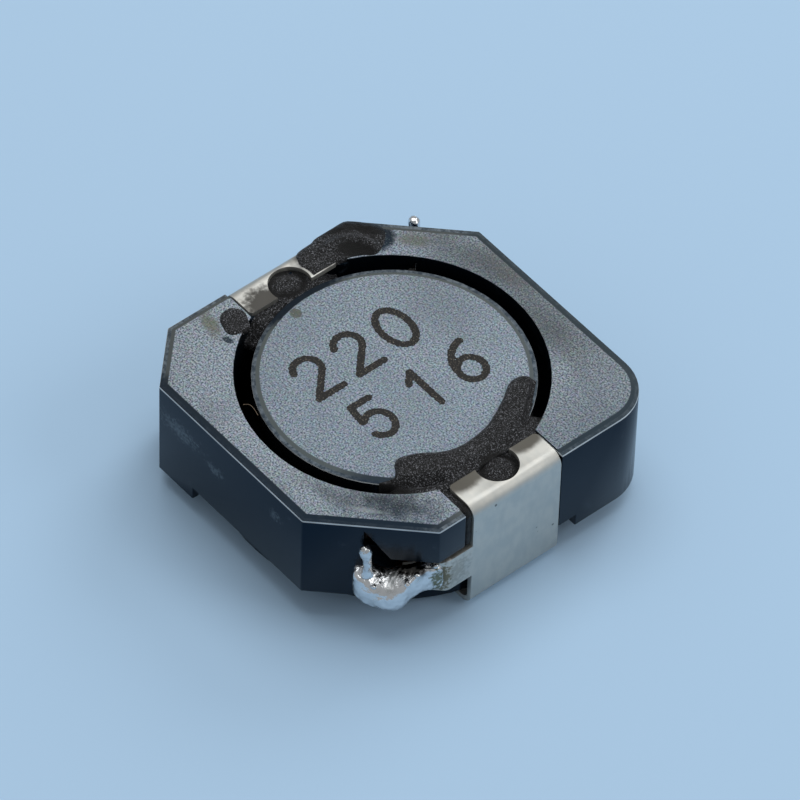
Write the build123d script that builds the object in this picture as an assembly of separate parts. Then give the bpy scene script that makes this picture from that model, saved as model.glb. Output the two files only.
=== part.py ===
"""Shielded surface-mount power inductor, 10 x 10 x 3.8 mm class.

A square ferrite ring core sits on the wide lower flange of a ferrite drum core. Two tinned
strip terminals clip round both cores from the top of the ring to the underside of the flange.
Millimetres, +Z up. The origin is the middle of the underside, on the plane of the solder pads.
+X is the outward side of the front terminal, and the rear terminal is its half-turn copy.
"""
from build123d import *
import os
from math import atan2, cos, degrees, radians, sin, sqrt

os.makedirs("parts", exist_ok=True)

# Ring core
bore_radius = 4.13
side_wall_x = 0.77
side_wall_y = 0.87
ring_wall_height = 2.85
lead_corner_chamfer = 2.5
blunt_corner_chamfer = 1.45
round_corner_radius = 1.4
foot_drop = 0.4
foot_start_x = 2.05
foot_start_y = 2.2

# Pressed rim of both cores: a flat land on the outside, then a low bevel up to the face
rim_land = 0.1
rim_bevel_width = 0.14
rim_bevel_height = 0.05

# Drum core
core_gap = 0.4
top_flange_thickness = 0.8
lower_flange_thickness = 0.8
hub_radius = 2.05
drum_drop = 0.05
drum_offset_x = 0.05
drum_offset_y = 0.03
flange_edge_bevel = 0.13
flange_clearance = 0.07
foot_clearance = 0.12

# Terminals
strip_thickness = 0.15
terminal_width = 2.95
terminal_shift = 0.1
recess_side_gap = 0.15
recess_depth = 0.12
bend_radius = 0.22
tab_corner_radius = 0.12
tab_overhang = 0.25
pad_length = 1.25
glue_notch_radius = 0.6
glue_notch_inset = 0.19
arm_bottom = 1.22
arm_height = 1.16
arm_side_length = 0.8
arm_tip_length = 1.15
arm_tip_height = 0.72
arm_bend_radius = 0.25

# Lead opening in the two wide-chamfered corners
opening_height = 2.5
opening_start = 1.6
opening_peak_height = 3.5
opening_peak_width = 0.7

# Winding
wire_diameter = 0.32
winding_inset = 0.28
turn_flat_share = 0.4
lead_radius = 0.14
lead_sides = 8
lead_height = 1.45
lead_rise = 0.5
lead_tail_length = 0.26
lead_entry_length = 0.36
lead_bend_radius = 0.3
lead_start_angle = -12
lead_leave_angle = -30

# Solder joints
solder_radius = 0.62
solder_toe_radius = 0.42
solder_toe_length = 0.72
solder_toe_rise = 0.12
solder_thickness = 0.76
solder_edge_bevel = 0.24
solder_level = 1.5
solder_stand_off = 0.13
stub_radius = 0.13
stub_tip_radius = 0.17
stub_inset = 0.17
stub_level = 3.1

# Adhesive
glue_depth = 0.3
glue_height = 0.17
glue_edge_bevel = 0.12
front_bead_inset = 0.36
front_bead_width = 0.72
front_bead_start_angle = -33
front_bead_end_angle = 44
front_gap_start_angle = -30
front_gap_end_angle = 28
side_glue_bottom = 2.5
side_glue_inset = 0.04
rear_gap_start_angle = 163
rear_gap_end_angle = 216
rear_mass_offset = 0.49
rear_mass_width = 0.92
rear_mass_start_angle = 146
rear_mass_end_angle = 168
glue_dot_radius = 0.42
glue_dot_offset = 0.34
glue_dot_angle = 208

# Levels and radii that follow from the sizes above
ring_width = 2 * (bore_radius + side_wall_x)
ring_depth = 2 * (bore_radius + side_wall_y)
recess_width = terminal_width + 2 * recess_side_gap
flange_bottom = strip_thickness
ring_seat = flange_bottom + lower_flange_thickness
ring_top = ring_seat + ring_wall_height
foot_bottom = ring_seat - foot_drop
drum_top = ring_top - drum_drop
window_top = drum_top - top_flange_thickness
strip_inner_x = ring_width / 2 - recess_depth
strip_outer_x = strip_inner_x + strip_thickness
flange_radius = strip_inner_x - flange_clearance
top_flange_radius = bore_radius - core_gap
winding_radius = top_flange_radius - winding_inset
tab_inner_x = bore_radius - tab_overhang
notch_x = tab_inner_x + glue_notch_inset
chamfer_reach = (ring_width + ring_depth) / 2 - lead_corner_chamfer
drum_axis = Pos(drum_offset_x, drum_offset_y, 0)
half_turn = Rot(0, 0, 180)
beyond = ring_top
tall = 4 * ring_top


def slab(sketch, bottom, top):
    """Plan outline raised into a solid between two levels."""
    return extrude(Pos(0, 0, bottom) * sketch, top - bottom)


def block(x_from, x_to, y_from, y_to, z_from, z_to):
    """Upright box between six coordinates."""
    size = (x_to - x_from, y_to - y_from, z_to - z_from)
    return Pos(x_from, y_from, z_from) * Box(*size, align=Align.MIN)


def polar(radius, angle):
    """Plan point at a radius and an angle in degrees."""
    return (radius * cos(radians(angle)), radius * sin(radians(angle)))


def ring_outline():
    """Near-square outline: two wide chamfers, one small chamfer and one round corner."""
    half_x, half_y = ring_width / 2, ring_depth / 2
    outline = Rectangle(ring_width, ring_depth)
    for sx, sy in ((1, -1), (-1, 1)):
        corner = outline.vertices().sort_by_distance((sx * half_x, sy * half_y, 0))[0]
        outline = chamfer(corner, lead_corner_chamfer)
    corner = outline.vertices().sort_by_distance((-half_x, -half_y, 0))[0]
    outline = chamfer(corner, blunt_corner_chamfer)
    corner = outline.vertices().sort_by_distance((half_x, half_y, 0))[0]
    return fillet(corner, round_corner_radius)


def recess_cut():
    """Space that the front terminal takes from the ring: top, bend and outer wall."""
    half = recess_width / 2
    floor = ring_top - strip_thickness
    space = block(0, ring_width, -half, half, -beyond, tall)
    kept = block(-beyond, strip_inner_x, -recess_width, recess_width, -tall, floor)
    edge = kept.edges().filter_by(Axis.Y).sort_by_distance((strip_inner_x, 0, floor))[0]
    kept = fillet(edge, bend_radius)
    return space - kept


def lead_opening():
    """Window in the front lead corner: low over most of its width, tall at the wire's tail.

    Its profile is drawn on the chamfered face and cut straight in, past the bore.
    """
    face = Plane(
        origin=(ring_width / 2 - lead_corner_chamfer, -ring_depth / 2, 0),
        x_dir=(1, 1, 0),
        z_dir=(1, -1, 0),
    )
    face_length = lead_corner_chamfer * sqrt(2)
    recess_corner = (lead_corner_chamfer + ring_depth / 2 - recess_width / 2) / sqrt(2)
    end = max(face_length, recess_corner)
    profile = Polygon(
        (opening_start, -beyond),
        (opening_start, opening_peak_height),
        (opening_start + opening_peak_width, opening_height),
        (end, opening_height),
        (end, -beyond),
        align=None,
    )
    depth = chamfer_reach / sqrt(2)
    return extrude(face * profile, amount=depth, both=True)


def make_ring_core():
    """Square shield with its bore, corner feet, terminal recesses and lead openings."""
    outline = ring_outline()
    land_level = ring_top - rim_bevel_height
    body = slab(outline, ring_seat, land_level)
    face = offset(outline, -rim_land, kind=Kind.INTERSECTION)
    taper = degrees(atan2(rim_bevel_width, rim_bevel_height))
    body += extrude(Pos(0, 0, land_level) * face, rim_bevel_height, taper=taper)
    foot = Rectangle(ring_width, ring_depth, align=Align.MIN)
    corners = outline & (Pos(foot_start_x, foot_start_y) * foot)
    corners += outline & (Pos(-foot_start_x, -foot_start_y) * half_turn * foot)
    body += slab(corners - Circle(flange_radius + foot_clearance), foot_bottom, ring_seat)
    body -= Cylinder(bore_radius, tall)
    for turn in (Rot(0, 0, 0), half_turn):
        body -= turn * recess_cut()
        body -= turn * lead_opening()
    return body


def make_drum_core():
    """Turned bobbin: narrow hub, top flange in the bore, wide lower flange under the ring."""
    profile = Polygon(
        (0, flange_bottom),
        (flange_radius - flange_edge_bevel, flange_bottom),
        (flange_radius, flange_bottom + flange_edge_bevel),
        (flange_radius, ring_seat),
        (hub_radius, ring_seat),
        (hub_radius, window_top),
        (top_flange_radius, window_top),
        (top_flange_radius, drum_top - rim_bevel_height),
        (top_flange_radius - rim_land, drum_top - rim_bevel_height),
        (top_flange_radius - rim_land - rim_bevel_width, drum_top),
        (0, drum_top),
        align=None,
    )
    return drum_axis * revolve(Plane.XZ * profile, Axis.Z)


def lead_path():
    """Middle line of the front lead, from inside the winding to inside its solder joint."""
    start = polar(winding_radius - wire_diameter, lead_start_angle)
    leave = polar(winding_radius + wire_diameter, lead_leave_angle)
    reach = chamfer_reach / 2 + solder_stand_off / sqrt(2)
    turn = (reach + lead_tail_length, -reach + lead_tail_length)
    end = (turn[0] - lead_entry_length, turn[1] - lead_entry_length)
    return FilletPolyline(
        (*start, lead_height),
        (*leave, lead_height),
        (*turn, lead_height),
        (*end, lead_height + lead_rise),
        radius=lead_bend_radius,
    )


def make_winding():
    """Magnet wire on the hub, its outer layer as ridged turns, with both leads drawn out."""
    window = window_top - ring_seat
    turns = int(window / wire_diameter)
    pitch = window / turns
    flank = (1 - turn_flat_share) / 2 * pitch
    valley = winding_radius - flank
    outline = [(hub_radius, window_top), (hub_radius, ring_seat)]
    for turn in range(turns):
        level = ring_seat + pitch * turn
        outline += [(valley, level), (winding_radius, level + flank), (winding_radius, level + pitch - flank)]
    outline.append((valley, window_top))
    winding = drum_axis * revolve(Plane.XZ * Polygon(*outline, align=None), Axis.Z)
    path = lead_path()
    lead = sweep(Plane(path @ 0, z_dir=path % 0) * RegularPolygon(lead_radius, lead_sides), path=path)
    return winding + lead + half_turn * lead


def arm():
    """Finger cut from the strip's lower edge side and bent round to follow the lead corner."""
    middle_x = (strip_inner_x + strip_outer_x) / 2
    edge_y = terminal_shift - terminal_width / 2
    root_y = edge_y + strip_thickness
    bend_y = edge_y - arm_side_length
    run = arm_tip_length / sqrt(2)
    tip = (middle_x - run, bend_y - run)
    line = FilletPolyline((middle_x, root_y), (middle_x, bend_y), tip, radius=arm_bend_radius)
    start = Plane(line @ 0, x_dir=(1, 0, 0), z_dir=line % 0)
    section = start * Rectangle(strip_thickness, 2 * arm_height)
    plate = Pos(0, 0, arm_bottom) * sweep(section, path=line)
    top = Polygon(
        (root_y + strip_thickness, arm_bottom + arm_height),
        (bend_y, arm_bottom + arm_height),
        (tip[1] - strip_thickness, arm_bottom + arm_tip_height),
        (tip[1] - strip_thickness, arm_bottom),
        (root_y + strip_thickness, arm_bottom),
        align=None,
    )
    return plate & extrude(Plane.YZ * top, 2 * strip_outer_x)


def make_terminal():
    """Front terminal: top tab with its glue notch, side strip, solder pad and wire arm."""
    outer_radius = bend_radius + strip_thickness
    outer = block(0, strip_outer_x, -terminal_width / 2, terminal_width / 2, 0, ring_top)
    outer = fillet(outer.edges().filter_by(Axis.Y).group_by(Axis.X)[-1], outer_radius)
    inner = block(-beyond, strip_inner_x, -terminal_width, terminal_width,
                  strip_thickness, ring_top - strip_thickness)
    inner = fillet(inner.edges().filter_by(Axis.Y).group_by(Axis.X)[-1], bend_radius)
    strip = outer - inner
    middle = ring_top / 2
    strip -= block(-beyond, tab_inner_x, -terminal_width, terminal_width, middle, tall)
    strip -= block(-beyond, strip_outer_x - pad_length, -terminal_width, terminal_width, -beyond, middle)
    upright = strip.edges().filter_by(Axis.Z).filter_by_position(Axis.Z, ring_top - strip_thickness, tall)
    strip = fillet(upright.group_by(Axis.Y)[0] + upright.group_by(Axis.Y)[-1], tab_corner_radius)
    strip -= Pos(notch_x, 0, ring_top) * Cylinder(glue_notch_radius, 2 * strip_thickness)
    return Pos(0, terminal_shift, 0) * strip + arm()


def make_solder(terminal, winding, ring):
    """Front solder joint: a flattened drop round the wire's end, with the stub that stands up."""
    reach = chamfer_reach / 2 + solder_stand_off / sqrt(2)
    along = Plane(origin=(reach, -reach, solder_level), x_dir=(1, 1, 0), z_dir=(0, 0, 1))
    toe = Pos(solder_toe_length, solder_toe_rise) * Circle(solder_toe_radius)
    outline = make_hull((Circle(solder_radius) + toe).edges())
    drop = extrude(Plane.XZ * outline, solder_thickness / 2, both=True)
    rims = drop.edges().group_by(Axis.Y)
    joint = along * chamfer(rims[0] + rims[-1], solder_edge_bevel)
    foot = (Align.CENTER, Align.CENTER, Align.MIN)
    stub_height = stub_level - stub_tip_radius - solder_level
    joint += along * Pos(-stub_inset, 0, 0) * Cylinder(stub_radius, stub_height, align=foot)
    tip = Polygon(*[polar(stub_tip_radius, angle) for angle in range(-90, 91, 45)], align=None)
    joint += along * Pos(-stub_inset, 0, stub_height) * revolve(Plane.XZ * tip, Axis.Z)
    return joint - terminal - winding - ring


def softened(sketch, bottom, top):
    """Adhesive run: plan outline raised with bevelled upper edges."""
    body = slab(sketch, bottom, top)
    return chamfer(body.edges().group_by(Axis.Z)[-1], glue_edge_bevel)


def run(radius, start_angle, end_angle, width):
    """Plan outline of an adhesive run along a circle about the ring's axis."""
    return SlotArc(CenterArc((0, 0), radius, start_angle, end_angle - start_angle), width)


def gap_fill(start_angle, end_angle):
    """Adhesive down in the slot between the top flange and the bore."""
    middle = (bore_radius + top_flange_radius) / 2
    outline = run(middle, start_angle, end_angle, 2 * core_gap)
    return slab(outline, ring_top - glue_depth, drum_top - rim_bevel_height)


def notch_fill(side):
    """Adhesive dome in a terminal's glue notch."""
    centre = Pos(side * notch_x, side * terminal_shift, 0)
    return centre * softened(Circle(glue_notch_radius), ring_top - glue_depth, ring_top + glue_height / 2)


def side_fill():
    """Adhesive in the open gap beside the front terminal, over the top and part way down."""
    gap = (-recess_width / 2, terminal_shift - terminal_width / 2)
    outer = ring_width / 2 - side_glue_inset
    level = ring_top - side_glue_inset
    top = block(tab_inner_x, outer, *gap, ring_top - strip_thickness, level)
    return top + block(strip_inner_x, outer, *gap, side_glue_bottom, level)


def make_glue_front(neighbours):
    """Bead along the drum's rim, run into the slot, up through the front notch and beside the tab."""
    bead_radius = top_flange_radius - front_bead_inset
    outline = run(bead_radius, front_bead_start_angle, front_bead_end_angle, front_bead_width)
    glue = softened(outline, ring_top - glue_depth, drum_top + glue_height)
    glue += gap_fill(front_gap_start_angle, front_gap_end_angle) + notch_fill(1) + side_fill()
    return glue - neighbours


def make_glue_rear_slot(neighbours):
    """Adhesive in the rear part of the slot and in the rear notch."""
    return gap_fill(rear_gap_start_angle, rear_gap_end_angle) + notch_fill(-1) - neighbours


def make_glue_rear_top(neighbours):
    """Thick smear over the rear tab and the ring's top beside it."""
    mass_radius = bore_radius + rear_mass_offset
    outline = run(mass_radius, rear_mass_start_angle, rear_mass_end_angle, rear_mass_width)
    glue = softened(outline, ring_top - glue_depth, ring_top + glue_height)
    return (glue & slab(ring_outline(), 0, tall)) - neighbours


def make_glue_dot(neighbours):
    """Single round drop on the ring's top beside the rear terminal."""
    place = polar(bore_radius + glue_dot_offset, glue_dot_angle)
    drop = softened(Circle(glue_dot_radius), ring_top - glue_edge_bevel, ring_top + glue_edge_bevel / 2)
    return Pos(*place, 0) * drop - neighbours


ring_core = make_ring_core()
drum_core = make_drum_core()
winding = make_winding()
terminal_front = make_terminal()
terminal_rear = half_turn * terminal_front
solder_front = make_solder(terminal_front, winding, ring_core)
solder_rear = half_turn * solder_front
carriers = ring_core + drum_core + terminal_front + terminal_rear
glue_front = make_glue_front(carriers)
glue_rear_slot = make_glue_rear_slot(carriers)
glue_rear_top = make_glue_rear_top(carriers) - glue_rear_slot
glue_dot = make_glue_dot(carriers) - glue_rear_slot

nodes = {
    "ring_core": ring_core,
    "drum_core": drum_core,
    "winding": winding,
    "terminal_front": terminal_front,
    "terminal_rear": terminal_rear,
    "solder_front": solder_front,
    "solder_rear": solder_rear,
    "glue_front": glue_front,
    "glue_rear_slot": glue_rear_slot,
    "glue_rear_top": glue_rear_top,
    "glue_dot": glue_dot,
}
for name, shape in nodes.items():
    shape.label = name
    export_step(shape, f"parts/{name}.step")
    print(name, round(shape.volume, 4), len(shape.solids()))
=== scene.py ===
import math

import bmesh
import bpy
import numpy
from mathutils import Matrix, Vector, noise


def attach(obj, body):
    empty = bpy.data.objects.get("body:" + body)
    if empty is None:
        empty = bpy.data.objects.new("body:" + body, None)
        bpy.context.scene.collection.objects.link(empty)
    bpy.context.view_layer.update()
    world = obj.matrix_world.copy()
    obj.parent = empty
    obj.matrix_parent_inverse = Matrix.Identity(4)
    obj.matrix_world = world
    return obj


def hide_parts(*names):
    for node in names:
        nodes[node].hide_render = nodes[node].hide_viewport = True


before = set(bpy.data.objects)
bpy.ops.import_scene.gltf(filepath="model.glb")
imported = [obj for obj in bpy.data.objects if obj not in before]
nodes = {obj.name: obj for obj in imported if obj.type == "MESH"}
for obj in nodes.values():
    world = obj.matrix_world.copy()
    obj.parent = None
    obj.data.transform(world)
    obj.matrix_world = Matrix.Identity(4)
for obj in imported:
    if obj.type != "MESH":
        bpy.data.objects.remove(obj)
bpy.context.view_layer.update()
scene = bpy.context.scene
mm = 0.001  # every size below is in millimetres, Blender works in metres
print("frame loaded:", len(nodes), "CAD nodes")


def linear(hexColour):
    # sRGB hex to the linear values that shader sockets take
    channels = [int(hexColour[i:i + 2], 16) / 255 for i in (1, 3, 5)]
    return [c / 12.92 if c <= 0.04045 else ((c + 0.055) / 1.055) ** 2.4 for c in channels] + [1.0]


def connect(tree, node, links):
    # sets sockets to plain values, to hex colours, to another socket or to what another node gives
    for socket, value in links.items():
        if isinstance(value, str):
            value = linear(value)
        if isinstance(value, bpy.types.Node):
            value = next(output for output in value.outputs if output.enabled)
        if isinstance(value, bpy.types.NodeSocket):
            tree.links.new(value, node.inputs[socket])
        else:
            node.inputs[socket].default_value = value


def addNode(tree, kind, links=None, **settings):
    # one node: settings are its own properties, links go to its sockets
    node = tree.nodes.new(kind)
    for name, value in settings.items():
        setattr(node, name, value)
    connect(tree, node, links or {})
    return node


def startMaterial(name, **fixed):
    # principled material with its coordinates in millimetres of the part's own frame
    material = bpy.data.materials.new(name)
    material.use_nodes = True
    tree = material.node_tree
    shader = tree.nodes["Principled BSDF"]
    connect(tree, shader, {socket.replace("_", " "): value for socket, value in fixed.items()})
    place = addNode(tree, "ShaderNodeTexCoord")
    scaled = addNode(tree, "ShaderNodeVectorMath", {0: place.outputs["Object"], "Scale": 1 / mm}, operation="SCALE")
    return material, tree, shader, scaled


def finishMaterial(tree, shader, colour, roughness, height, strength, depth):
    # colour, roughness, and a bump after the given height, its depth in millimetres
    bump = addNode(tree, "ShaderNodeBump", {"Height": height, "Strength": strength, "Distance": depth * mm})
    connect(tree, shader, {"Base Color": colour, "Roughness": roughness, "Normal": bump})


def speckle(tree, coords, size, detail, roughness, low, high, most=1.0):
    # noise of one grain size, and the share, up to most, that it gives between two of its levels
    grain = addNode(tree, "ShaderNodeTexNoise",
                    {"Vector": coords, "Scale": 1 / size, "Detail": detail, "Roughness": roughness})
    share = addNode(tree, "ShaderNodeMapRange", {"Value": grain, "From Min": low, "From Max": high, "To Max": most})
    return grain, share


def layColours(tree, colour, *layers):
    # each layer is a share and the colour that it lays over the one so far
    for share, over in layers:
        colour = addNode(tree, "ShaderNodeMix", {0: share, 6: colour, 7: over}, data_type="RGBA")
    return colour


def stain(at, reach, colour, strength, soft, **more):
    # one patch: its middle and reach in millimetres, its colour, how strong it is and how soft its edge
    return {"at": at, "reach": reach, "colour": colour, "strength": strength, "soft": soft, **more}


def bothEnds(stains):
    # each patch, and the same half a turn round at the other terminal
    ends = []
    for patch in stains:
        x, y, z = patch["at"]
        ends += [patch, dict(patch, at=(-x, -y, z))]
    return ends


def patchMask(tree, coords, patch):
    # soft patch, in plan or all three ways: 1 inside, 0 outside, with an edge that wanders
    turned = addNode(tree, "ShaderNodeMapping",
                     {"Vector": coords, "Location": (*patch["at"], 0)[:3], "Scale": (*patch["reach"], 50)[:3],
                      "Rotation": (0, 0, math.radians(patch.get("turn", 0)))}, vector_type="TEXTURE")
    away = addNode(tree, "ShaderNodeVectorMath", {0: turned}, operation="LENGTH")
    wander = addNode(tree, "ShaderNodeTexNoise",
                     {"Vector": coords, "Scale": 1 / patch.get("grain", 0.3), "Detail": 4})
    ragged = patch.get("ragged", 0.4)
    edge = addNode(tree, "ShaderNodeMath", {0: wander, 1: ragged, 2: away}, operation="MULTIPLY_ADD")
    limit = 1 + ragged / 2
    mask = addNode(tree, "ShaderNodeMapRange", {"Value": edge, "From Min": limit, "From Max": limit - patch["soft"],
                                                "To Max": patch["strength"]}, interpolation_type="SMOOTHSTEP")
    if "hole" in patch:  # a ring round a bare middle
        hole = patch["hole"]
        middle = addNode(tree, "ShaderNodeMapRange",
                         {"Value": edge, "From Min": hole, "From Max": hole + patch["soft"]})
        mask = addNode(tree, "ShaderNodeMath", {0: mask, 1: middle}, operation="MULTIPLY")
    return mask


def addPatches(tree, coords, colour, patches):
    # lays each patch over the colour so far
    return layColours(tree, colour, *((patchMask(tree, coords, patch), patch["colour"]) for patch in patches))


def newBody(name, work):
    # scene object of what was built
    mesh = bpy.data.meshes.new(name)
    work.to_mesh(mesh)
    work.free()
    body = bpy.data.objects.new(name, mesh)
    scene.collection.objects.link(body)
    return body


# Camera at the photograph's viewing angle
cameraSettings = {
    "place": (104.712, -91.514, 161.815),
    "aim": (-0.341, 0.588, 2.0),
    "roll": 1.8916,
    "lens": 364.693,
    "sensor": 36.0,
    "nearest": 10,
}
cameraData = bpy.data.cameras.new("camera")
cameraData.lens = cameraSettings["lens"]
cameraData.sensor_width = cameraSettings["sensor"]
cameraData.clip_start = cameraSettings["nearest"] * mm
camera = bpy.data.objects.new("camera", cameraData)
scene.collection.objects.link(camera)
camera.location = Vector(cameraSettings["place"]) * mm
view = Vector(cameraSettings["aim"]) * mm - camera.location
camera.rotation_mode = "QUATERNION"
level = view.to_track_quat("-Z", "Y")
camera.rotation_quaternion = level @ Matrix.Rotation(math.radians(cameraSettings["roll"]), 3, "Z").to_quaternion()
scene.camera = camera
print("camera placed")

# Pale floor and soft studio light
studio = {
    "floorColour": "#aecce7",
    "floorReach": 1500,
    "floorLevel": -0.01,
    "floorRoughness": 0.9,
    "floorShine": 0.1,
    "sky": "#f2f4f5",
    "skyStrength": 0.45,
    "lamps": [  # name, place, aim, size, watts
        ("overheadSoftbox", (-62, 52, 322), (0, 0, 0), 300, 0.47),
        ("rearSoftbox", (-70, 250, 180), (0, 0, 0), 170, 0.2),
        ("rightSoftbox", (199, 155, 197), (0, 0, 0), 170, 0.15),
    ],
}
floorMaterial, tree, shader, coords = startMaterial("matt studio floor", Roughness=studio["floorRoughness"])
connect(tree, shader, {"Base Color": studio["floorColour"], "Specular IOR Level": studio["floorShine"]})
work = bmesh.new()
bmesh.ops.create_grid(work, x_segments=2, y_segments=2, size=studio["floorReach"] * mm)
floor = newBody("floor", work)
floor.data.materials.append(floorMaterial)
floor.location.z = studio["floorLevel"] * mm

world = bpy.data.worlds.new("studio")
scene.world = world
world.use_nodes = True
tree = world.node_tree
connect(tree, tree.nodes["Background"], {"Color": studio["sky"], "Strength": studio["skyStrength"]})
for name, place, aim, size, watts in studio["lamps"]:
    lampData = bpy.data.lights.new(name, "AREA")
    lampData.shape = "DISK"
    lampData.size = size * mm
    lampData.energy = watts
    lamp = bpy.data.objects.new(name, lampData)
    scene.collection.objects.link(lamp)
    lamp.location = Vector(place) * mm
    lamp.rotation_euler = (Vector(aim) * mm - lamp.location).to_track_quat("-Z", "Y").to_euler()
scene.view_settings.view_transform = "Standard"
print("studio lit")

# Manganese zinc ferrite, pressed to shape and fired: the ground top faces are blue-grey with a fine
# sparkling grain, the pressed walls are darker, smoother and take a soft shine; the rim's groove is painted darker:
# dirt and painted shade
ringFerrite = {
    "name": "fired ferrite ring",
    "topDark": "#3c444b",
    "topLight": "#b0bac3",
    "gloss": "#8cc3f7",
    # painted highlight colour of the thin line along the outer edge
    "edge": "#d0d7db",
    "topCloud": "#5e6366",
    "cloudShare": 0.5,
    "land": "#3b4043",
    "landSparkle": "#676e72",
    "groove": "#4b4d49",
    "wall": "#04080d",
    "scuff": "#56626d",
    "scuffShare": 0.35,
    "topLevel": 3.8,
    "landLevel": 3.75,
    "edgeHighlightFrom": 4.25,
    "edgeHighlightDepth": 0.06,
    "grain": 0.05,
    "sparkle": 0.06,
    "glint": "#ccd3d8",
    "tintShare": 0.1,
    "cloudSize": 1.6,
    "scuffSize": 0.7,
    "fleckSize": 0.16,
    "bump": (0.05, 0.3),  # on the walls and on the top
    "bumpDepth": 0.02,
    "ior": 1.38,
    "rough": (0.24, 0.5),
    "wallPatches": [  # pale rubs near the left end of the front left wall
        stain((-2.6, -5.0, 2.75), (1.0, 0.4, 0.4), "#74838c", 0.32, 1.1, ragged=3.2, grain=0.1),
        stain((-1.1, -5.0, 2.5), (0.4, 0.4, 0.25), "#74838c", 0.3, 1.1, ragged=3.2, grain=0.08),
        stain((1.3, -5.0, 2.98), (0.3, 0.4, 0.2), "#74838c", 0.3, 1.1, ragged=3.2, grain=0.08),
    ],
    "rimPatches": [
        stain((4.2, 4.2), (3.4, 3.4), "#2c3232", 0.75, 0.5),
        stain((0.0, 5.0), (5.0, 0.6), "#2c3231", 0.75, 0.5),
        stain((0.0, -4.9), (5.5, 0.6), "#0d0e0f", 0.9, 0.4),
        stain((3.9, -3.9), (2.2, 0.8), "#0d0e0f", 0.9, 0.4, turn=45),
    ],
    "groovePatches": [
        stain((3.8, -3.8), (2.6, 1.3), "#060607", 0.97, 0.5, turn=45),
        stain((4.6, 3.2), (1.2, 2.6), "#1b1c1d", 0.8, 0.6),
        stain((0.0, 4.9), (4.5, 0.9), "#232425", 0.7, 0.6),
    ],
    "patches": [  # brown films of flux and finger marks
        stain((4.4, 2.9), (1.8, 3.0), "#44484a", 0.45, 1.1, turn=8, grain=1.2, ragged=0.3),
        stain((-3.95, 2.72), (0.62, 0.62), "#0c0d10", 0.96, 0.35, turn=40, ragged=0.3, grain=0.12),
        stain((-3.56, -2.62), (0.22, 0.14), "#101112", 0.9, 0.5, turn=20, ragged=0.9, grain=0.1),
        stain((0.8, 4.4), (4.8, 1.2), "#37362a", 0.5, 0.9, grain=0.9, ragged=0.6),
        stain((-4.28, -2.62), (0.75, 0.3), "#5f5c48", 0.75, 0.7, turn=-12, ragged=0.8),
        stain((3.5, -2.85), (2.1, 0.9), "#1d1c1a", 0.9, 1.0, turn=40, grain=0.35, ragged=1.0),
        stain((2.2, -3.9), (1.2, 0.35), "#3a3c3e", 0.5, 0.9, turn=15, ragged=0.8),
        stain((3.2, -3.5), (0.8, 0.12), "#8d9396", 0.75, 0.9, turn=38, ragged=0.7),
        stain((1.3, 4.2), (1.5, 0.75), "#4d4a43", 0.3, 1.0, turn=-8),
        stain((-2.0, 4.15), (2.6, 1.1), "#3b3a2e", 0.5, 1.0, turn=15, grain=0.9, ragged=0.4),
        stain((-0.8, 4.6), (1.3, 0.5), "#55544f", 0.6, 0.9, turn=4),
        stain((-3.2, 3.45), (0.7, 0.35), "#5d5b4b", 0.7, 0.8, turn=42),
    ],
}
drumFerrite = dict(
    ringFerrite,
    name="fired ferrite drum",
    topDark="#49525b",
    topLight="#a9b5bf",
    topCloud="#6a727b",
    cloudShare=0.35,
    land="#353b3f",
    landSparkle="#656c71",
    groove="#535753",
    wall="#080b0f",
    topLevel=3.75,
    landLevel=3.7,
    edgeHighlightFrom=3.5,
    edgeHighlightDepth=0.04,
    grain=0.05,
    wallPatches=[],
    groovePatches=[],
    rimPatches=[
        stain((-3.75, -0.4), (0.8, 2.4), "#060607", 0.97, 0.5, grain=0.12),
        stain((2.8, -2.8), (1.5, 1.0), "#141516", 0.8, 0.6, turn=45),
    ],
    patches=[
        stain((-1.2, 2.6), (3.0, 1.6), "#565c60", 0.35, 1.0, ragged=0.6, grain=0.9),
        stain((-3.21, -0.62), (0.2, 0.18), "#5b5d50", 0.9, 0.25, ragged=0.2, grain=0.12),
    ],
)


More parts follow.
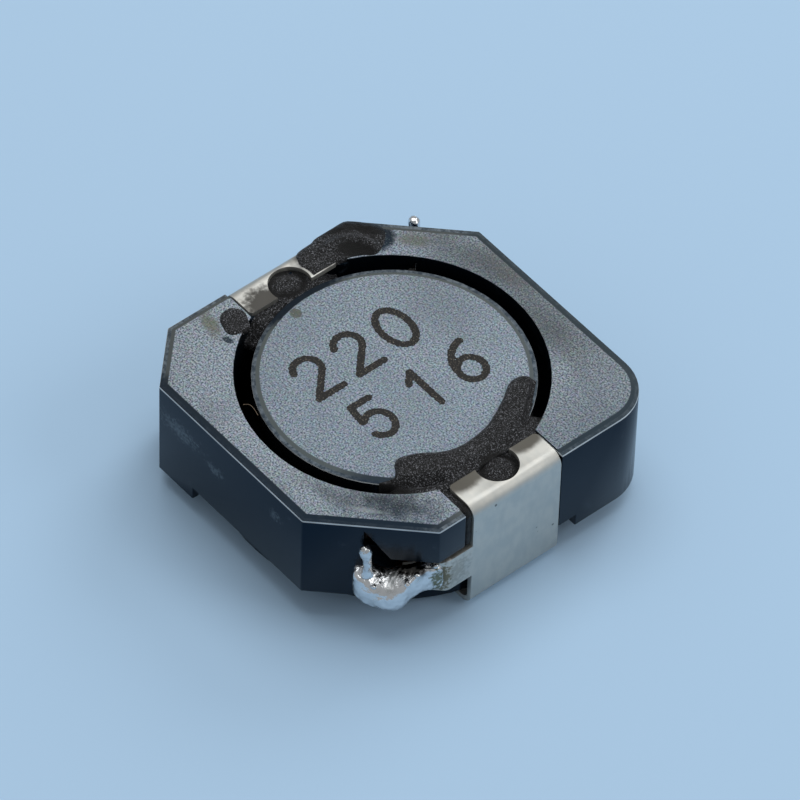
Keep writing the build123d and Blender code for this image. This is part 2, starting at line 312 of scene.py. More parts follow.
def ferriteMaterial(look):
    material, tree, shader, coords = startMaterial(look["name"], IOR=look["ior"], Specular_Tint=look["gloss"])
    grain, tone = speckle(tree, coords, look["grain"], 2, 0.7, 0.36, 0.64)
    cloud, cloudy = speckle(tree, coords, look["cloudSize"], 4, 0.55, 0.45, 0.75, look["cloudShare"])
    top = layColours(tree, look["topDark"], (tone, look["topLight"]), (cloudy, look["topCloud"]))
    top = addPatches(tree, coords, top, look["patches"])
    # fine bright grains that catch the light
    spark = addNode(tree, "ShaderNodeTexVoronoi", {"Vector": coords, "Scale": 1 / look["sparkle"]})
    bright = addNode(tree, "ShaderNodeMapRange",
                     {"Value": spark.outputs["Distance"], "From Min": 0.25, "From Max": 0.05, "To Max": 0.4})
    top = layColours(tree, top, (bright, look["glint"]))
    top = addNode(tree, "ShaderNodeMix", {0: look["tintShare"], 6: top, 7: spark.outputs["Color"]},
                  data_type="RGBA", blend_type="OVERLAY")
    # pale scuffs on the pressed walls
    scuffed = speckle(tree, coords, look["scuffSize"], 8, 0.75, 0.6, 0.78, look["scuffShare"])[1]
    wall = layColours(tree, look["wall"], (scuffed, look["scuff"]))
    wall = addPatches(tree, coords, wall, look["wallPatches"])
    # which surface this is: its slope, its level, and how far out it lies
    geometry = addNode(tree, "ShaderNodeNewGeometry")
    slope = addNode(tree, "ShaderNodeSeparateXYZ", {0: geometry.outputs["Normal"]}).outputs["Z"]
    height = addNode(tree, "ShaderNodeSeparateXYZ", {0: coords}).outputs["Z"]
    flat = addNode(tree, "ShaderNodeVectorMath", {0: coords, 1: (1, 1, 0)}, operation="MULTIPLY")
    reach = addNode(tree, "ShaderNodeVectorMath", {0: flat}, operation="LENGTH")
    topLevel, land, edgeHighlightBand = look["topLevel"], look["landLevel"], look["edgeHighlightDepth"]
    where = {}
    for name, measure, low, high in (
            ("level", slope, 0.6, 0.8),
            ("leaving", slope, 0.92, 0.85),
            ("high", height, land - 0.1, land - 0.05),
            ("onTop", height, topLevel - 0.012, topLevel - 0.004),
            ("inGroove", height, land + 0.001, land + 0.006),
            ("above", height, land - edgeHighlightBand, land - 0.75 * edgeHighlightBand),
            ("below", height, land + 0.004, land - 0.002),
            ("outer", reach, look["edgeHighlightFrom"], look["edgeHighlightFrom"] + 0.05)):
        where[name] = addNode(tree, "ShaderNodeMapRange", {"Value": measure, "From Min": low, "From Max": high})
    facesUp = addNode(tree, "ShaderNodeMath", {0: where["level"], 1: where["high"]}, operation="MULTIPLY")
    flecks = speckle(tree, coords, look["fleckSize"], 3, 0.7, 0.42, 0.62)[1]
    # dirt and painted shade: the groove above the land is laid darker, more so in patches
    groove = addPatches(tree, coords, look["groove"], look["groovePatches"])
    rim = layColours(tree, look["land"], (flecks, look["landSparkle"]), (where["inGroove"], groove))
    rim = addPatches(tree, coords, rim, look["rimPatches"])
    face = layColours(tree, rim, (where["onTop"], top))
    # painted highlight: a thin pale line along the rounded outer edge, its strength varying with noise
    edgeHighlight = addNode(tree, "ShaderNodeMapRange",
                     {"Value": cloud, "From Min": 0.3, "From Max": 0.6, "To Min": 0.4, "To Max": 0.95})
    for name in ("leaving", "outer", "above", "below"):
        edgeHighlight = addNode(tree, "ShaderNodeMath", {0: edgeHighlight, 1: where[name]}, operation="MULTIPLY")
    colour = layColours(tree, wall, (facesUp, face), (edgeHighlight, look["edge"]))
    rough, bump = (addNode(tree, "ShaderNodeMapRange", {"Value": facesUp, "To Min": onWall, "To Max": onTop})
                   for onWall, onTop in (look["rough"], look["bump"]))
    finishMaterial(tree, shader, colour, rough, grain, bump, look["bumpDepth"])
    return material


# Copper alloy strip, tin plated and stamped: near white metal with a soft rolled grain, brown films of
# adhesive where it has crept over the tabs, and tiny pits on the side
strip = {
    "tin": "#c8c7c1",
    "dull": "#bdbeba",
    "pit": "#3a3c3c",
    "roughness": (0.44, 0.62),
    "grain": (0.5, 0.25, 0.5),
    "cloudSize": 0.5,
    "pitSpacing": 0.55,
    "bump": 0.1,
    "bumpDepth": 0.015,
    "patches": [
        stain((3.9, -0.98), (0.5, 0.82), "#433f34", 0.93, 0.45, turn=-6, ragged=0.3, grain=0.2),
        stain((3.9, 1.2), (0.42, 0.75), "#433f34", 0.93, 0.45, turn=6, ragged=0.3, grain=0.2),
        stain((-3.9, -1.02), (0.78, 0.72), "#28241b", 0.95, 0.45, turn=20, ragged=0.7, grain=0.12),
        stain((-4.5, 1.25, 3.8), (0.85, 1.1, 0.5), "#100f0b", 0.98, 0.55, ragged=0.4, grain=0.2, anyWay=True),
    ] + bothEnds([  # flux on the arm
        stain((4.9, -1.85, 1.8), (0.35, 0.5, 0.7), "#55625f", 0.45, 0.9, ragged=2.6, grain=0.1, anyWay=True),
        stain((4.85, -2.25, 1.75), (0.4, 0.2, 0.65), "#4b4a26", 0.85, 0.6, ragged=2.8, grain=0.09, anyWay=True),
    ]),
}


def tinnedStripMaterial():
    material, tree, shader, coords = startMaterial("matt tin plated strip", Metallic=1.0)
    stretched = addNode(tree, "ShaderNodeVectorMath", {0: coords, 1: tuple(1 / g for g in strip["grain"])},
                        operation="MULTIPLY")
    rolled = addNode(tree, "ShaderNodeTexNoise", {"Vector": stretched, "Scale": 1, "Detail": 3})
    cloud = addNode(tree, "ShaderNodeTexNoise",
                    {"Vector": coords, "Scale": 1 / strip["cloudSize"], "Detail": 5, "Roughness": 0.6})
    shade = addNode(tree, "ShaderNodeMath", {0: rolled, 1: cloud}, operation="MULTIPLY")
    spread = addNode(tree, "ShaderNodeMapRange", {"Value": shade, "From Min": 0.15, "From Max": 0.35})
    pits = addNode(tree, "ShaderNodeTexVoronoi", {"Vector": coords, "Scale": 1 / strip["pitSpacing"]})
    pitted = addNode(tree, "ShaderNodeMapRange",
                     {"Value": pits.outputs["Distance"], "From Min": 0.09, "From Max": 0.05, "To Max": 0.7})
    colour = layColours(tree, strip["dull"], (spread, strip["tin"]), (pitted, strip["pit"]))
    # films of adhesive lie on the upward face, flux on the side as well
    geometry = addNode(tree, "ShaderNodeNewGeometry")
    slope = addNode(tree, "ShaderNodeSeparateXYZ", {0: geometry.outputs["Normal"]}).outputs["Z"]
    facesUp = addNode(tree, "ShaderNodeMapRange", {"Value": slope, "From Min": 0.6, "From Max": 0.9})
    metal = 1.0
    for patch in strip["patches"]:
        side = 1.0 if "anyWay" in patch else facesUp
        mask = addNode(tree, "ShaderNodeMath", {0: patchMask(tree, coords, patch), 1: side}, operation="MULTIPLY")
        colour = layColours(tree, colour, (mask, patch["colour"]))
        metal = addNode(tree, "ShaderNodeMath", {0: metal, 1: mask}, operation="SUBTRACT", use_clamp=True)
    connect(tree, shader, {"Metallic": metal})
    low, high = strip["roughness"]
    rough = addNode(tree, "ShaderNodeMapRange", {"Value": cloud, "To Min": low, "To Max": high})
    finishMaterial(tree, shader, colour, rough, cloud, strip["bump"], strip["bumpDepth"])
    return material


# Reflowed tin solder: mirror bright where it froze smooth, frosty in small areas, with traces of amber flux
solderLook = {
    "tin": "#d4d7da",
    "frost": "#b4b8b9",
    "roughness": (0.2, 0.36),  # where bright and where frosty
    "cloudSize": 0.4,
    "wrinkle": 0.2,
    "wrinkleStrength": 0.75,
    "wrinkleDepth": 0.05,
    "patches": bothEnds([  # traces of flux near the arm, and a painted dark reflection at the back of the pool
        stain((4.75, -2.45, 1.8), (0.35, 0.22, 0.6), "#57562e", 0.85, 0.6, ragged=3.0, grain=0.09),
        # painted reflection: the dark that the pool reflects, laid into the colour
        stain((4.34, -2.99, 2.15), (0.6, 0.26, 0.35), "#1d1a15", 0.95, 0.5, turn=45, ragged=0.6, grain=0.12),
    ]) + [
        stain((-3.5, 3.5, 2.1), (0.7, 0.36, 0.5), "#14120e", 0.97, 0.4, turn=45, ragged=0.3, grain=0.12),
    ],
}


def solderMaterial():
    look = solderLook
    material, tree, shader, coords = startMaterial("bright reflowed solder", Metallic=1.0)
    frosty = speckle(tree, coords, look["cloudSize"], 2, 0.5, 0.5, 0.8)[1]
    colour = layColours(tree, look["tin"], (frosty, look["frost"]))
    colour = addPatches(tree, coords, colour, look["patches"])
    low, high = look["roughness"]
    rough = addNode(tree, "ShaderNodeMapRange", {"Value": frosty, "To Min": low, "To Max": high})
    creased = addNode(tree, "ShaderNodeTexNoise",
                      {"Vector": coords, "Scale": 1 / look["wrinkle"], "Detail": 3, "Roughness": 0.5})
    finishMaterial(tree, shader, colour, rough, creased, look["wrinkleStrength"], look["wrinkleDepth"])
    return material


# Filled epoxy adhesive, dispensed and cured: black and semi-matt, with mineral grains that glint
epoxyBlack = "#040405"
epoxy = {
    "black": epoxyBlack,
    "grey": "#abaeb6",
    "glint": "#c2c4cc",
    "grain": 0.036,
    "glintSpacing": 0.1,
    "glintShare": 0.38,
    "roughness": 0.36,
    "bump": 1.0,
    "bumpDepth": 0.05,
    "bareAndShaded": [  # smooth black places: painted shade round the rims of the notches and in the side gap, the skin and the pit of the rear mass
        # painted shade: a black ring without grains round each notch's rim, where its walls shade the glob
        stain((4.2, 0.1), (0.53, 0.62), epoxyBlack, 1, 0.2, ragged=0.15, hole=0.6),
        stain((-4.2, -0.1), (0.53, 0.62), epoxyBlack, 1, 0.2, ragged=0.15, hole=0.62),
        stain((-3.88, 1.98), (0.62, 0.3), epoxyBlack, 1, 0.35, turn=40, ragged=0.2, grain=0.1),
        stain((-4.9, 2.2), (0.42, 1.1), epoxyBlack, 1, 0.4, turn=-18, ragged=0.3, grain=0.1),
        stain((-4.2, 2.85), (0.75, 0.34), epoxyBlack, 1, 0.4, turn=48, ragged=0.3, grain=0.1),
        stain((3.1, 2.45), (0.36, 0.9), epoxyBlack, 0.95, 0.5, turn=38, ragged=0.3, grain=0.1),
        stain((2.85, -2.75), (0.36, 1.1), epoxyBlack, 1, 0.5, turn=-44, ragged=0.3, grain=0.1),
        # painted shade: black without grains in the narrow gap beside the front terminal
        stain((4.7, -1.5, 3.0), (0.5, 0.3, 1.2), epoxyBlack, 0.95, 0.4),
    ],
}


def epoxyMaterial():
    material, tree, shader, coords = startMaterial("cured black epoxy", IOR=1.5, Specular_IOR_Level=0.3)
    grain, tone = speckle(tree, coords, epoxy["grain"], 3, 0.8, 0.54, 0.72)
    glint = addNode(tree, "ShaderNodeTexVoronoi", {"Vector": coords, "Scale": 1 / epoxy["glintSpacing"]})
    lit = addNode(tree, "ShaderNodeMapRange", {"Value": glint.outputs["Distance"], "From Min": 0.22,
                                               "From Max": 0.08, "To Max": epoxy["glintShare"]})
    colour = layColours(tree, epoxy["black"], (tone, epoxy["grey"]), (lit, epoxy["glint"]))
    colour = addPatches(tree, coords, colour, epoxy["bareAndShaded"])
    finishMaterial(tree, shader, colour, epoxy["roughness"], grain, epoxy["bump"], epoxy["bumpDepth"])
    return material


# Copper magnet wire drawn round, with baked enamel: warm amber over metal
wireLook = {"amber": "#5a2d15", "shade": "#2c1409", "roughness": 0.38, "cloudSize": 0.4}


def wireMaterial():
    material, tree, shader, coords = startMaterial("enamelled copper wire", Metallic=1.0,
                                                   Roughness=wireLook["roughness"], Coat_Weight=1.0)
    cloud = addNode(tree, "ShaderNodeTexNoise", {"Vector": coords, "Scale": 1 / wireLook["cloudSize"], "Detail": 3})
    connect(tree, shader, {"Base Color": layColours(tree, wireLook["shade"], (cloud, wireLook["amber"]))})
    return material


# Stamped marking ink: dark brown film, thin enough that grains of the ferrite glint through
inkLook = {"dark": "#060504", "glint": "#6a6458", "roughness": 0.5, "grain": 0.05, "bump": 0.5, "bumpDepth": 0.02}


def inkMaterial():
    material, tree, shader, coords = startMaterial("brown marking ink", IOR=1.5, Specular_IOR_Level=0.3)
    grain, tone = speckle(tree, coords, inkLook["grain"], 2, 0.7, 0.56, 0.72)
    colour = layColours(tree, inkLook["dark"], (tone, inkLook["glint"]))
    finishMaterial(tree, shader, colour, inkLook["roughness"], grain, inkLook["bump"], inkLook["bumpDepth"])
    return material


ringMaterial = ferriteMaterial(ringFerrite)
drumMaterial = ferriteMaterial(drumFerrite)
tinMaterial = tinnedStripMaterial()
brightSolder = solderMaterial()
blackEpoxy = epoxyMaterial()
copperWire = wireMaterial()
brownInk = inkMaterial()
print("materials made")


def setMaterial(body, material):
    body.data.materials.clear()
    body.data.materials.append(material)


# CAD nodes that keep their shape
edges = {"terminalRounding": 0.03, "ringRounding": 0.035, "segments": 2, "sharpest": 32, "weld": 0.001}
setMaterial(nodes["ring_core"], ringMaterial)
setMaterial(nodes["drum_core"], drumMaterial)
setMaterial(nodes["winding"], copperWire)
for name in ("terminal_front", "terminal_rear"):
    setMaterial(nodes[name], tinMaterial)

smoothing = bpy.data.node_groups.new("smoothUnderAngle", "GeometryNodeTree")
for way in ("INPUT", "OUTPUT"):
    smoothing.interface.new_socket("Geometry", in_out=way, socket_type="NodeSocketGeometry")
plain = addNode(smoothing, "NodeGroupInput")
bend = addNode(smoothing, "GeometryNodeInputMeshEdgeAngle")
sharp = addNode(smoothing, "FunctionNodeCompare",
                {0: bend.outputs["Unsigned Angle"], 1: math.radians(edges["sharpest"])},
                data_type="FLOAT", operation="GREATER_THAN")
soft = addNode(smoothing, "GeometryNodeSetShadeSmooth", {"Geometry": plain.outputs[0]}, domain="FACE")
kept = addNode(smoothing, "GeometryNodeSetShadeSmooth",
               {"Geometry": soft, "Selection": sharp, "Shade Smooth": False}, domain="EDGE")
addNode(smoothing, "NodeGroupOutput", {0: kept})


def easeEdges(body, width):
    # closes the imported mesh, rounds its sharp edges a little and shades its curves smooth
    weld = body.modifiers.new("weld", "WELD")
    weld.merge_threshold = edges["weld"] * mm
    if width:
        rounding = body.modifiers.new("rounding", "BEVEL")
        rounding.width = width * mm
        rounding.segments = edges["segments"]
        rounding.limit_method = "ANGLE"
        rounding.angle_limit = math.radians(edges["sharpest"])
    shading = body.modifiers.new("shading", "NODES")
    shading.node_group = smoothing


for name, width in (("ring_core", edges["ringRounding"]), ("drum_core", edges["ringRounding"]), ("winding", 0),
                    ("terminal_front", edges["terminalRounding"]), ("terminal_rear", edges["terminalRounding"])):
    easeEdges(nodes[name], width)
print("CAD nodes finished")


def bakeSkin(body, swell, side=1):
    # applies the modifiers, swells the skin and turns millimetres into metres; side -1 turns it half round
    coarse = body.data
    skin = bpy.data.meshes.new_from_object(body.evaluated_get(bpy.context.evaluated_depsgraph_get()))
    body.modifiers.clear()
    body.data = skin
    bpy.data.meshes.remove(coarse)
    moved = [vertex.co + vertex.normal * swell(vertex.co) for vertex in skin.vertices]
    for vertex, place in zip(skin.vertices, moved):
        vertex.co = Vector((side * place.x, side * place.y, place.z)) * mm
    skin.update()
    return body


def fuseLumps(name, lumps, voxel, softening, swell):
    # overlapping ellipsoids (centre, radii) fused into one skin, in millimetres until the end
    work = bmesh.new()
    for centre, radii in lumps:
        made = bmesh.ops.create_icosphere(work, subdivisions=3, radius=1)["verts"]
        place = Matrix.Translation(centre) @ Matrix.Diagonal((*radii, 1))
        bmesh.ops.transform(work, matrix=place, verts=made)
    body = newBody(name, work)
    fuse = body.modifiers.new("fuse", "REMESH")
    fuse.mode = "VOXEL"
    fuse.voxel_size = voxel
    fuse.use_smooth_shade = True
    soften = body.modifiers.new("soften", "SMOOTH")
    soften.factor = 0.5
    soften.iterations = softening
    return bakeSkin(body, swell)


def cellFaces(work, gridX, gridY, field, rise):
    # fills the grid cells where the field is negative; edge points lie where it crosses zero
    made = {}

    def corner(i, j):
        if (i, j) not in made:
            made[i, j] = work.verts.new((gridX[i], gridY[j], rise(gridX[i], gridY[j], -field[i, j])))
        return made[i, j]

    def crossing(a, b):
        key = (min(a, b), max(a, b))
        if key not in made:
            share = field[a] / (field[a] - field[b])
            x = gridX[a[0]] + share * (gridX[b[0]] - gridX[a[0]])
            y = gridY[a[1]] + share * (gridY[b[1]] - gridY[a[1]])
            made[key] = work.verts.new((x, y, rise(x, y, 0)))
        return made[key]

    faces = []
    for i in range(len(gridX) - 1):
        for j in range(len(gridY) - 1):
            around = [(i, j), (i + 1, j), (i + 1, j + 1), (i, j + 1)]
            inside = [field[a] < 0 for a in around]
            if not any(inside):
                continue
            outline = []
            for k in range(4):
                a, b = around[k], around[(k + 1) % 4]
                if inside[k]:
                    outline.append(corner(*a))
                if inside[k] != inside[(k + 1) % 4]:
                    outline.append(crossing(a, b))
            if len(outline) > 2:
                faces.append(work.faces.new(outline))
    return faces


def lineDistance(x, y, line):
    # how far each grid point lies from a line of points
    nearest = numpy.full(x.shape, 9.0)
    for (ax, ay), (bx, by) in zip(line, line[1:]):
        dx, dy = bx - ax, by - ay
        share = numpy.clip(((x - ax) * dx + (y - ay) * dy) / max(dx * dx + dy * dy, 1e-9), 0, 1)
        nearest = numpy.minimum(nearest, numpy.hypot(x - ax - share * dx, y - ay - share * dy))
    return nearest


def insideOutline(x, y, outline):
    inside = numpy.zeros(x.shape, bool)
    for (ax, ay), (bx, by) in zip(outline, outline[1:] + outline[:1]):
        if ay != by:
            inside ^= ((ay > y) != (by > y)) & (x < ax + (y - ay) * (bx - ax) / (by - ay))
    return inside


def smoothLine(points, spans):
    # Catmull-Rom line through measured points
    line = []
    padded = [points[0]] + points + [points[-1]]
    for a, b, c, d in zip(padded, padded[1:], padded[2:], padded[3:]):
        for i in range(spans):
            t = i / spans
            line.append(tuple(0.5 * (2 * b[k] + (c[k] - a[k]) * t + (2 * a[k] - 5 * b[k] + 4 * c[k] - d[k]) * t * t
                                     + (3 * b[k] - a[k] - 3 * c[k] + d[k]) * t ** 3) for k in (0, 1)))
    return line + [points[-1]]


def ease(value, low, high):
    share = min(max((value - low) / (high - low), 0), 1)
    return share * share * (3 - 2 * share)


def polarPoint(radius, azimuth):
    return (radius * math.cos(math.radians(azimuth)), radius * math.sin(math.radians(azimuth)))


def polarArc(radius, start, end, step=3):
    count = max(1, round(abs(end - start) / step))
    return [polarPoint(radius, start + (end - start) * i / count) for i in range(count + 1)]


def pour(name, outline, rise, step, sink):
    # adhesive that ran out to a plan outline: a fine skin inside it, with its rim sunk into what carries it
    xs, ys = zip(*outline)
    gridX = numpy.arange(min(xs) - step, max(xs) + 2 * step, step)
    gridY = numpy.arange(min(ys) - step, max(ys) + 2 * step, step)
    x, y = numpy.meshgrid(gridX, gridY, indexing="ij")
    away = lineDistance(x, y, outline + outline[:1])
    field = numpy.where(insideOutline(x, y, outline), -away - 1e-6, away + 1e-6)
    work = bmesh.new()
    faces = cellFaces(work, gridX, gridY, field, rise)
    rim = [edge for edge in work.edges if edge.is_boundary]
    for part in bmesh.ops.extrude_edge_only(work, edges=rim)["geom"]:
        if isinstance(part, bmesh.types.BMVert):
            part.co.z -= sink
    bmesh.ops.recalc_face_normals(work, faces=work.faces)
    if faces[0].normal.z < 0:
        bmesh.ops.reverse_faces(work, faces=work.faces)
    for face in work.faces:
        face.smooth = True
    bmesh.ops.scale(work, vec=(mm, mm, mm), verts=work.verts)
    return newBody(name, work)


def dress(body, material, slot, *replaced):
    setMaterial(body, material)
    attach(body, "root")
    if replaced:
        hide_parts(*replaced)


def lineLumps(stations, step):
    # lumps along straight runs; stations are x, y, z, half width, half height
    lumps = []
    for first, last in zip(stations, stations[1:]):
        length = math.dist(first[:3], last[:3])
        count = max(1, round(length / step))
        for i in range(count + 1):
            x, y, z, width, height = (a + (b - a) * i / count for a, b in zip(first, last))
            lumps.append(((x, y, z), (width, width, height)))
    return lumps


def unevenness(scale, depth, seed):
    # slow waves of a surface that set while it flowed
    def swell(place):
        return depth * noise.fractal(place / scale + Vector((seed, seed, seed)), 0.6, 2.0, 3)
    return swell


# Adhesive
adhesive = {
    "waves": (0.45, 0.02, 3),  # scale, depth, seed
    "grit": (0.06, 0.004, 9),
    "step": 0.03,
    "sink": 0.22,
    "drumTop": 3.75,
    "ringTop": 3.8,
    "boreReach": 4.14,
    "rimReach": 3.73,
    "beadHeight": 0.165,
    "beadEdge": 0.22,
    "beadSlope": (3.55, 3.85),  # radii between which the bead runs down into the slot
    "rimCover": 0.04,
    "rimSink": 0.02,
    "valleyReach": 3.82,
    "valleyDepth": 0.06,
    "valleyWidth": 0.06,
    "slotLevel": 3.7,
    "tabLevel": 3.785,
    "tabAzimuth": 2,
    "openFrom": (17, 24),  # degrees away from the tab
    "beadInner": [
        (2.78, -2.25), (2.61, -2.08), (2.42, -1.95), (2.34, -1.7), (2.56, -1.21), (2.85, -0.78), (2.99, -0.4),
        (3.02, 0.08), (2.93, 0.67), (2.72, 1.18), (2.46, 1.68), (2.2, 2.07), (2.13, 2.34), (2.2, 2.57),
        (2.38, 2.73), (2.52, 2.76),
    ],
    "tabInner": [(3.87, 1.6), (3.87, 0.64), (3.87, -0.44), (3.87, -1.4)],
    "besideTab": (24, -20),  # azimuths where the slot meets the tab's sides
    "endTurn": 1,
    "frontSlotEnds": (-46, 37),
    "frontEndDrop": 0.5,
    "frontEndRun": 8,
    "rearSlotEnds": (161, 210),
    "rearSink": 0.06,
    "rearEndDrop": 0.35,
    "rearEndRun": 9,
    "notchReach": 0.59,
    "notchSink": 0.13,
    "notchMound": 0.1,
    "notchSlope": (0.12, 0.42),
    "notchAt": (4.07, 0.1),
    "rearMass": [
        (-3.89, 0.53), (-4.07, 0.55), (-4.25, 0.52), (-4.42, 0.48), (-4.6, 0.56), (-4.78, 0.7), (-4.87, 0.95),
        (-4.89, 1.2), (-4.9, 1.5), (-4.9, 1.7), (-4.9, 2.0), (-4.89, 2.38), (-4.72, 2.62), (-4.43, 2.88),
        (-4.18, 3.04), (-3.95, 3.03), (-3.7, 2.82), (-3.55, 2.6), (-3.46, 2.32), (-3.66, 2.0), (-3.8, 1.7),
        (-3.88, 1.4), (-3.9, 1.0), (-3.89, 0.53),
    ],
    "bendStart": -4.71,
    "bendRadius": 0.22,
    "bendMargin": 0.01,
    "bendCovered": (1.25, 1.5),  # y between which the film no longer follows the bend
    "massRoot": 0.01,
    "filmHeight": 0.03,
    "filmToMass": (0.9, 1.7),  # the film over the tab thickens between these y
    "thinnest": 0.022,
    "thinEdge": 0.06,
    "massSmooth": 0.15,
    "massHeight": 0.09,
    "massEdge": 0.3,
    "arch": [(-4.35, 0.85), (-4.45, 1.28), (-4.45, 1.72), (-4.3, 2.11), (-3.96, 2.38), (-3.7, 2.44), (-3.5, 2.36)],
    "archReach": 0.13,
    "archHeight": 0.07,
    "archFrom": (0.7, 1.6),
    "archEdge": 0.2,
    "pit": (-3.85, 1.98, 0.3, 0.07),  # x, y, reach, depth
    "massSink": 0.12,
    "dotAt": (-3.95, -2.08),
    "dotReach": (0.47, 0.38),
    "dotTurn": -41,
    "dotHeight": 0.05,
    "dotEdge": 0.16,
    "dotSmooth": 0.1,
    "dotStep": 0.025,
    "dotSink": 0.08,
    "dotWobble": 0.2,
    "frontSide": [  # x, y, z, half width, half height
        (3.95, -1.5, 3.64, 0.13, 0.1),
        (4.7, -1.5, 3.66, 0.13, 0.1),
        (4.8, -1.5, 3.55, 0.12, 0.12),
        (4.8, -1.5, 2.6, 0.11, 0.12),
    ],
    "sideSpacing": 0.08,
    "sideVoxel": 0.03,
    "sideSoftening": 3,
}
waves = unevenness(*adhesive["waves"])
grit = unevenness(*adhesive["grit"])


def dome(depth, edge):
    share = min(depth / edge, 1)
    return math.sqrt(1 - (1 - share) ** 2)


def unevenAt(x, y):
    at = Vector((x, y, 0))
    return waves(at) + grit(at)


def beadRise(x, y, depth):
    a = adhesive
    radius, azimuth = math.hypot(x, y), math.degrees(math.atan2(y, x))
    onDrum = a["drumTop"] + a["beadHeight"] * dome(depth, a["beadEdge"]) + unevenAt(x, y)
    openness = ease(abs(azimuth - a["tabAzimuth"]), *a["openFrom"])  # away from the tab the slot lies open
    outer = a["tabLevel"] + (a["slotLevel"] - a["tabLevel"]) * openness + unevenAt(x, y)
    low, high = a["frontSlotEnds"]
    toEnd = min(azimuth - low, high - azimuth)
    outer -= a["frontEndDrop"] * (1 - ease(toEnd, 0, a["frontEndRun"])) * openness
    rise = onDrum + (outer - onDrum) * ease(radius, *a["beadSlope"])
    valley = a["valleyDepth"] * openness * math.exp(-((radius - a["valleyReach"]) / a["valleyWidth"]) ** 2)
    onRim = radius < a["rimReach"] + a["rimCover"]
    return max(rise - valley, a["drumTop"] - a["rimSink"]) if onRim else rise - valley


def slotRise(x, y, depth):
    a = adhesive
    azimuth = math.degrees(math.atan2(y, x)) % 360
    low, high = a["rearSlotEnds"]
    toEnd = min(azimuth - low, high - azimuth)
    sunk = a["rearEndDrop"] * (1 - ease(toEnd, 0, a["rearEndRun"]))
    return a["slotLevel"] - a["rearSink"] - sunk + 2 * unevenAt(x, y)


def massRise(x, y, depth):
    a = adhesive
    thick = a["filmHeight"] + (a["massHeight"] - a["filmHeight"]) * ease(y, *a["filmToMass"])
    pitX, pitY, reach, deep = a["pit"]
    sunk = deep * math.exp(-((x - pitX) ** 2 + (y - pitY) ** 2) / reach ** 2)
    offArch = lineDistance(numpy.array(x), numpy.array(y), a["arch"])
    ridge = a["archHeight"] * float(numpy.exp(-(offArch / a["archReach"]) ** 2)) * ease(y, *a["archFrom"])
    shape = thick * dome(depth, a["massEdge"]) + (ridge - sunk) * ease(depth, 0, a["archEdge"])
    # down over the strip's bend
    over = min(max(a["bendStart"] - x, 0), a["bendRadius"] - a["bendMargin"]) * (1 - ease(y, *a["bendCovered"]))
    drop = a["bendRadius"] - math.sqrt(a["bendRadius"] ** 2 - over ** 2)
    uneven = 1.5 * unevenAt(x, y) * ease(depth, 0, a["massSmooth"])
    skin = max(shape + uneven, a["thinnest"] * ease(depth, 0, a["thinEdge"]))
    return a["ringTop"] - a["massRoot"] - drop + skin


def notchRise(x, y, depth):
    a = adhesive
    return a["ringTop"] - a["notchSink"] + a["notchMound"] * ease(depth, *a["notchSlope"]) + 1.5 * unevenAt(x, y)


def dotRise(x, y, depth):
    a = adhesive
    domed = a["dotHeight"] * dome(depth, a["dotEdge"])
    return a["ringTop"] + domed + unevenAt(x, y) * ease(depth, 0, a["dotSmooth"])


low, high = adhesive["frontSlotEnds"]
above, below = adhesive["besideTab"]
turn = adhesive["endTurn"]
bore, drumRim = adhesive["boreReach"], adhesive["rimReach"]
beadOutline = ([polarPoint(bore, low), polarPoint(drumRim, low + turn)] + smoothLine(adhesive["beadInner"], 6)
               + [polarPoint(drumRim, high - turn), polarPoint(bore, high)] + polarArc(bore, high, above)
               + adhesive["tabInner"] + polarArc(bore, below, low)[:-1])
sideLumps = lineLumps(adhesive["frontSide"], adhesive["sideSpacing"])
sideRun = fuseLumps("glueFrontSide", sideLumps, adhesive["sideVoxel"], adhesive["sideSoftening"], waves)
dress(sideRun, blackEpoxy, "black_adhesive")
glueFront = pour("glueFront", beadOutline, beadRise, adhesive["step"], adhesive["sink"])
dress(glueFront, blackEpoxy, "black_adhesive", "glue_front")
for side, name in ((1, "glueFrontNotch"), (-1, "glueRearNotch")):
    x, y = adhesive["notchAt"]
    circle = [(side * x + px, side * y + py) for px, py in polarArc(adhesive["notchReach"], 0, 354, 6)]
    dress(pour(name, circle, notchRise, adhesive["step"], adhesive["sink"]), blackEpoxy, "black_adhesive")
low, high = adhesive["rearSlotEnds"]
slotOutline = polarArc(bore, low, high) + polarArc(drumRim - adhesive["rimSink"], high, low)
glueRearSlot = pour("glueRearSlot", slotOutline, slotRise, adhesive["step"], adhesive["sink"])
dress(glueRearSlot, blackEpoxy, "black_adhesive", "glue_rear_slot")
massOutline = smoothLine(adhesive["rearMass"], 5)[:-1]
glueRearTop = pour("glueRearTop", massOutline, massRise, adhesive["step"], adhesive["massSink"])
dress(glueRearTop, blackEpoxy, "black_adhesive", "glue_rear_top")
dotX, dotY = adhesive["dotAt"]
dotOutline = []
dotLong, dotWide = adhesive["dotReach"]
dotTurn = Matrix.Rotation(math.radians(adhesive["dotTurn"]), 2)
for px, py in polarArc(1, 0, 354, 6):
    wobble = 1 + adhesive["dotWobble"] * noise.noise(Vector((px, py, 4.0)))
    place = dotTurn @ Vector((px * dotLong, py * dotWide)) * wobble
    dotOutline.append((dotX + place.x, dotY + place.y))
glueDot = pour("glueDot", dotOutline, dotRise, adhesive["dotStep"], adhesive["dotSink"])
dress(glueDot, blackEpoxy, "black_adhesive", "glue_dot")
print("adhesive made")

